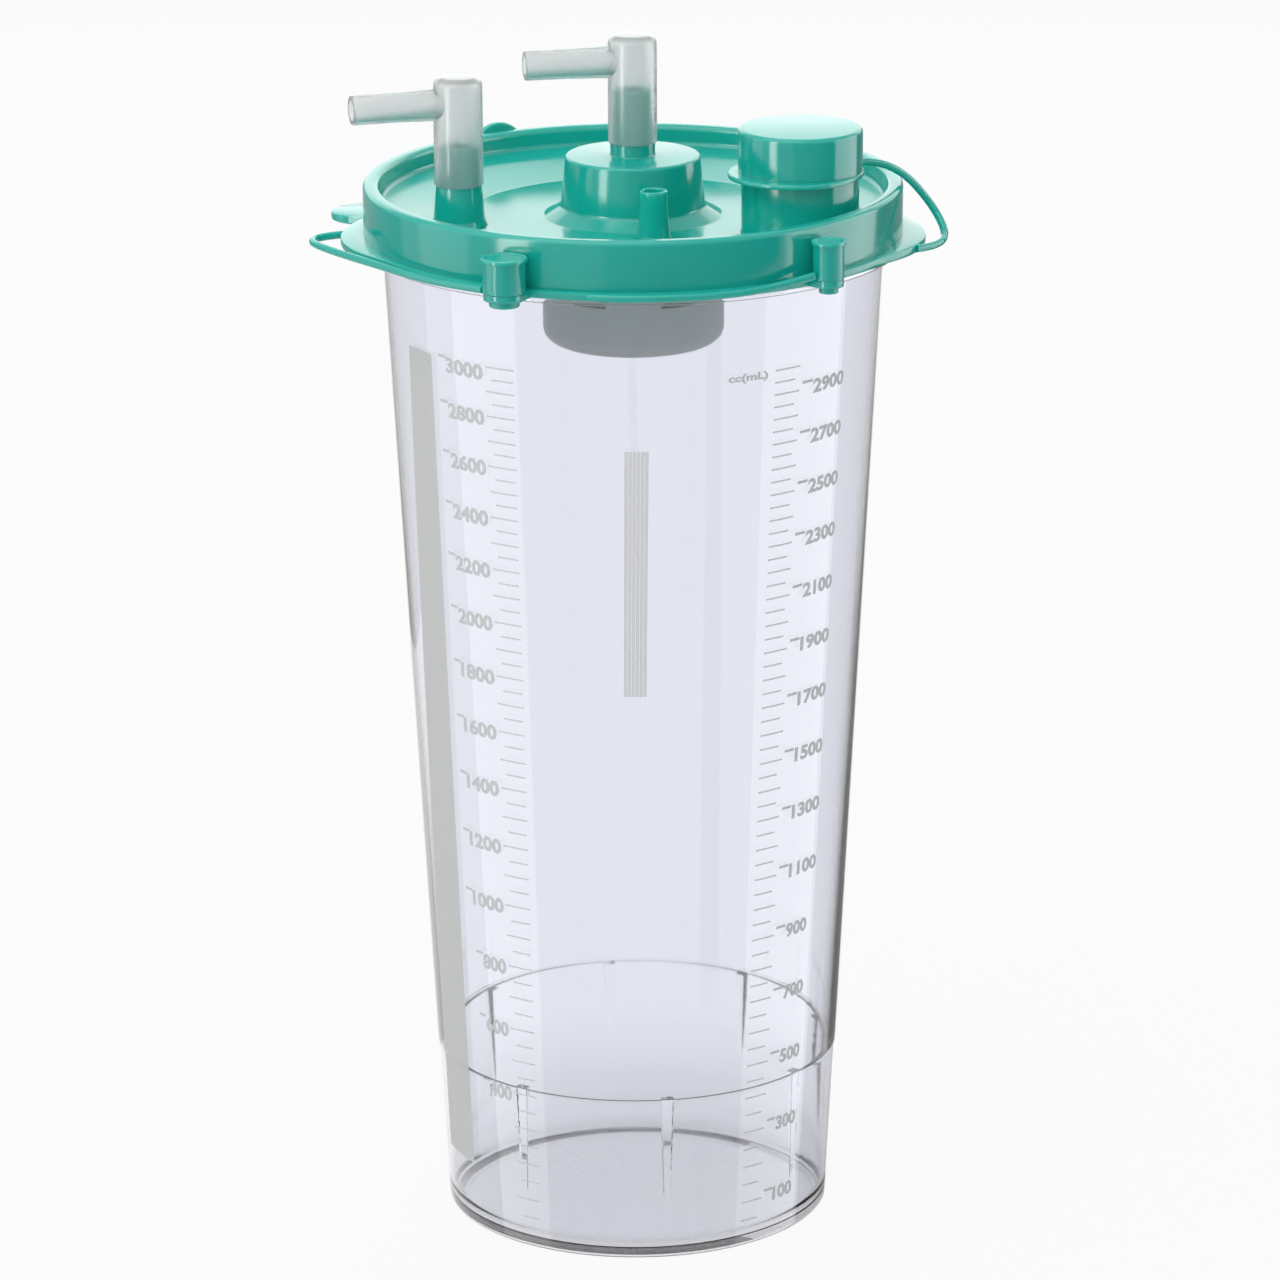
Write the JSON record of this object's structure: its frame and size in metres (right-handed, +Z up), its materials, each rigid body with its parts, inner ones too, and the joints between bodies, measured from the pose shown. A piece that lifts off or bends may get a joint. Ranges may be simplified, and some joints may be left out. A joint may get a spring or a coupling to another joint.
{
  "type": "suction canister",
  "caption": "Tall tapered clear container with a push-fit lid that carries a patient elbow, a vacuum elbow on a tower, a capped pour spout, tethered plugs and a float shut-off.",
  "frame": {"origin": "centre of the container's flat base, on the surface it stands on", "axes": "+Z up along the container's axis; -Y is the side that the picture shows; the elbows' nozzles point towards -X"},
  "size_m": [0.1792, 0.1592, 0.3451],
  "materials": {
    "clear_polystyrene": "clear moulded",
    "teal_polyethylene": "glossy moulded",
    "milky_polypropylene": "translucent moulded",
    "grey_polyethylene": "satin moulded",
    "white_polypropylene": "satin moulded",
    "porous_polyethylene": "sintered",
    "silicone_rubber": "soft moulded"
  },
  "bodies": {
    "container": {"canister": "clear_polystyrene"},
    "lid_group": {"lid": "teal_polyethylene", "float_cage": "grey_polyethylene", "valve_seat": "white_polypropylene", "filter_disc": "porous_polyethylene", "spout_cap_strap": "teal_polyethylene", "left_plug_strap": "teal_polyethylene", "right_plug_strap": "teal_polyethylene"},
    "patient_connector": {"patient_elbow": "milky_polypropylene"},
    "vacuum_connector": {"vacuum_elbow": "milky_polypropylene"},
    "pour_cap": {"spout_cap": "teal_polyethylene"},
    "wide_plug": {"left_plug": "teal_polyethylene"},
    "narrow_plug": {"right_plug": "teal_polyethylene"},
    "float_group": {"shutoff_float": "white_polypropylene", "float_seal": "silicone_rubber"}
  },
  "joints": [
    {"name": "lid_lift", "type": "slide", "parent": "container", "child": "lid_group", "axis": [0, 0, 1], "range_m": [0, 0.05]},
    {"name": "patient_swivel", "type": "hinge", "parent": "lid_group", "child": "patient_connector", "pos_m": [-0.0485, -0.012, 0.3053], "axis": [0, 0, 1], "continuous": true},
    {"name": "vacuum_swivel", "type": "hinge", "parent": "lid_group", "child": "vacuum_connector", "pos_m": [0, 0, 0.3145], "axis": [0, 0, 1], "continuous": true},
    {"name": "pour_cap_lift", "type": "slide", "parent": "lid_group", "child": "pour_cap", "axis": [0, 0, 1], "range_m": [0, 0.02]},
    {"name": "wide_plug_pull", "type": "slide", "parent": "lid_group", "child": "wide_plug", "axis": [0, 0, 1], "range_m": [0, 0.015]},
    {"name": "narrow_plug_pull", "type": "slide", "parent": "lid_group", "child": "narrow_plug", "axis": [0, 0, 1], "range_m": [0, 0.015]},
    {"name": "float_rise", "type": "slide", "parent": "lid_group", "child": "float_group", "axis": [0, 0, 1], "range_m": [0, 0.0051]}
  ]
}
